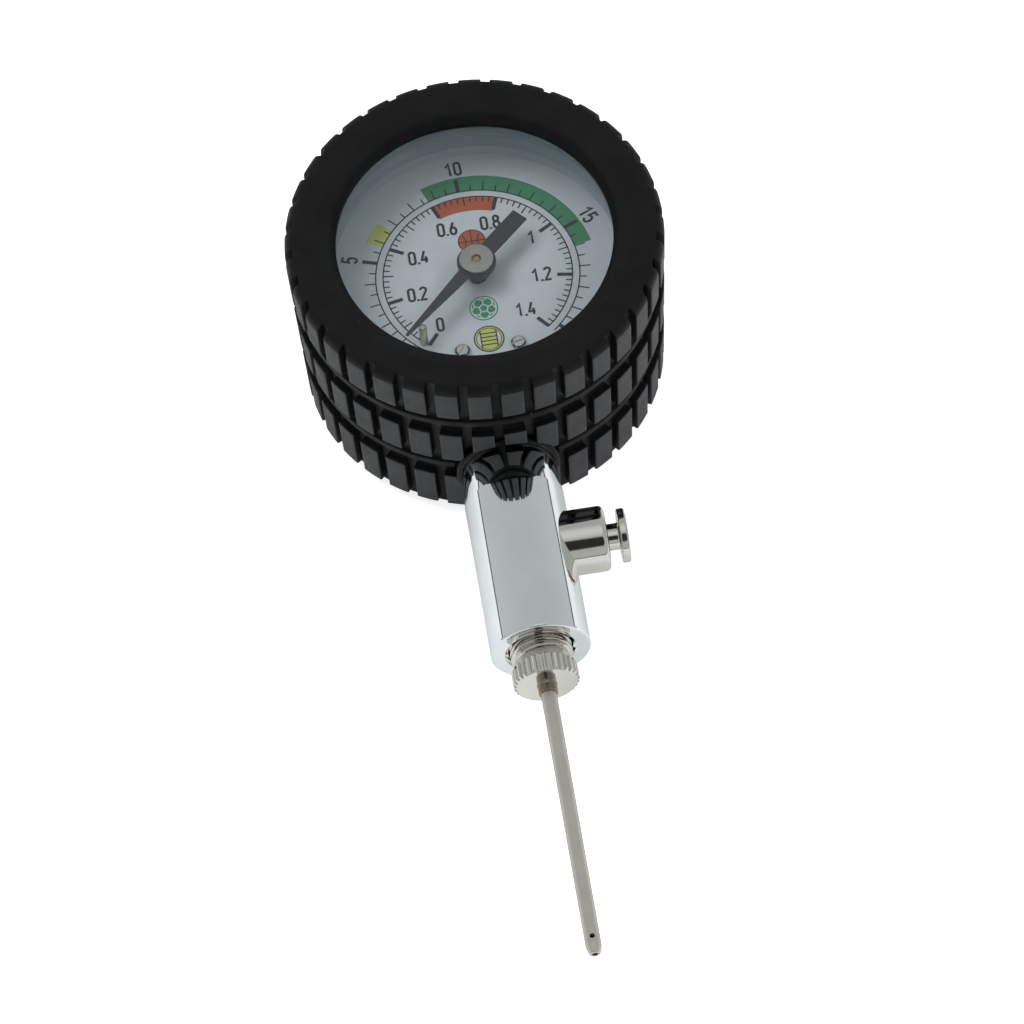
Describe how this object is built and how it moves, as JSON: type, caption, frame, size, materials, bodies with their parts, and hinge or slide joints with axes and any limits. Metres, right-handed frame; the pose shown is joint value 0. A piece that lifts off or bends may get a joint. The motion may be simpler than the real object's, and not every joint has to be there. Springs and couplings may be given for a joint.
{
  "type": "ball pressure gauge",
  "caption": "Dial pressure gauge for sports balls: tread-pattern rubber boot, chromed stem, side bleed valve and screw-in inflation needle.",
  "frame": {"origin": "centre of the gauge's flat back, on the dial's axis", "axes": "+Z is the dial's normal, -Y runs along the stem to the needle's tip, +X points along the bleed button"},
  "size_m": [0.0484, 0.1176, 0.03],
  "materials": {
    "boot_rubber": "matte moulded rubber, tread blocks slightly polished",
    "black_steel": "black painted steel",
    "white_plate": "white printed dial",
    "white_plastic": "white moulded ring",
    "clear_lens": "clear polished polycarbonate",
    "seal_rubber": "matte rubber",
    "chrome": "polished chrome plate",
    "nickel": "polished nickel plate",
    "satin_nickel": "satin nickel plate",
    "brass": "machined brass",
    "steel": "bright steel",
    "pointer_black": "dark grey paint"
  },
  "bodies": {
    "gauge": {"rubber_boot": "boot_rubber", "gauge_case": "black_steel", "dial_plate": "white_plate", "spacer_ring": "white_plastic", "lens_gasket": "seal_rubber", "lens": "clear_lens", "stop_pin": "nickel", "bourdon_tube": "brass", "hairspring": "steel", "movement_back_plate": "brass", "movement_front_plate": "brass", "socket_block": "brass", "movement_pillar_1": "steel", "movement_pillar_2": "steel", "movement_pillar_3": "steel", "dial_screw_left": "nickel", "dial_screw_right": "nickel", "dial_post_left": "brass", "dial_post_right": "brass", "movement_screw_left": "steel", "movement_screw_right": "steel", "case_screw_left": "steel", "case_screw_right": "steel", "valve_body": "chrome", "stem_grommet": "seal_rubber", "body_seal": "seal_rubber", "bleed_barrel": "nickel", "bleed_spring": "steel"},
    "sector": {"sector_gear": "brass", "tail_pin": "steel"},
    "link": {"link_bar": "brass"},
    "pointer_shaft": {"pinion_shaft": "brass", "pointer": "pointer_black", "pointer_bush": "nickel"},
    "tube_end": {"tube_tip": "brass"},
    "bleed_plunger": {"bleed_button": "nickel", "bleed_poppet": "brass", "bleed_seal": "seal_rubber"},
    "needle_seat": {"needle_washer": "seal_rubber"},
    "needle": {"needle_collar": "nickel", "needle_tube": "satin_nickel"}
  },
  "joints": [
    {"name": "sector_turn", "type": "hinge", "parent": "gauge", "child": "sector", "pos_m": [0.0045, -0.00779, 0.009], "axis": [0, 0, 1], "range_deg": [0, 34.75], "deforming": ["hairspring", "bourdon_tube"]},
    {"name": "pointer_turn", "type": "hinge", "parent": "gauge", "child": "pointer_shaft", "pos_m": [0, 0, 0.015], "axis": [0, 0, 1], "range_deg": [-278, 0]},
    {"name": "tube_end_lift", "type": "hinge", "parent": "gauge", "child": "tube_end", "pos_m": [-0.006, 0.0025, 0.0095], "axis": [0, 0, 1], "range_deg": [0, 9.6]},
    {"name": "link_swing", "type": "hinge", "parent": "sector", "child": "link", "pos_m": [0.00926, -0.00934, 0.0098], "axis": [0, 0, 1], "range_deg": [-34.75, 0]},
    {"name": "bleed_press", "type": "slide", "parent": "gauge", "child": "bleed_plunger", "axis": [-1, 0, 0], "range_m": [0, 0.0014], "stiffness_N_per_m": 300, "springref_m": -0.0018, "deforming": ["bleed_spring"]},
    {"name": "needle_travel", "type": "slide", "parent": "gauge", "child": "needle_seat", "axis": [0, -1, 0], "range_m": [0, 0.0056]},
    {"name": "needle_unscrew", "type": "hinge", "parent": "needle_seat", "child": "needle", "pos_m": [0, -0.05, 0.0095], "axis": [0, -1, 0], "range_deg": [0, 2540]}
  ],
  "couplings": [
    {"joint": "pointer_turn", "follows": "sector_turn", "ratio": -8},
    {"joint": "tube_end_lift", "follows": "sector_turn", "ratio": 0.2748},
    {"joint": "link_swing", "follows": "sector_turn", "ratio": -1},
    {"joint": "needle_unscrew", "follows": "needle_travel", "rad_per_m": 7913.3}
  ]
}
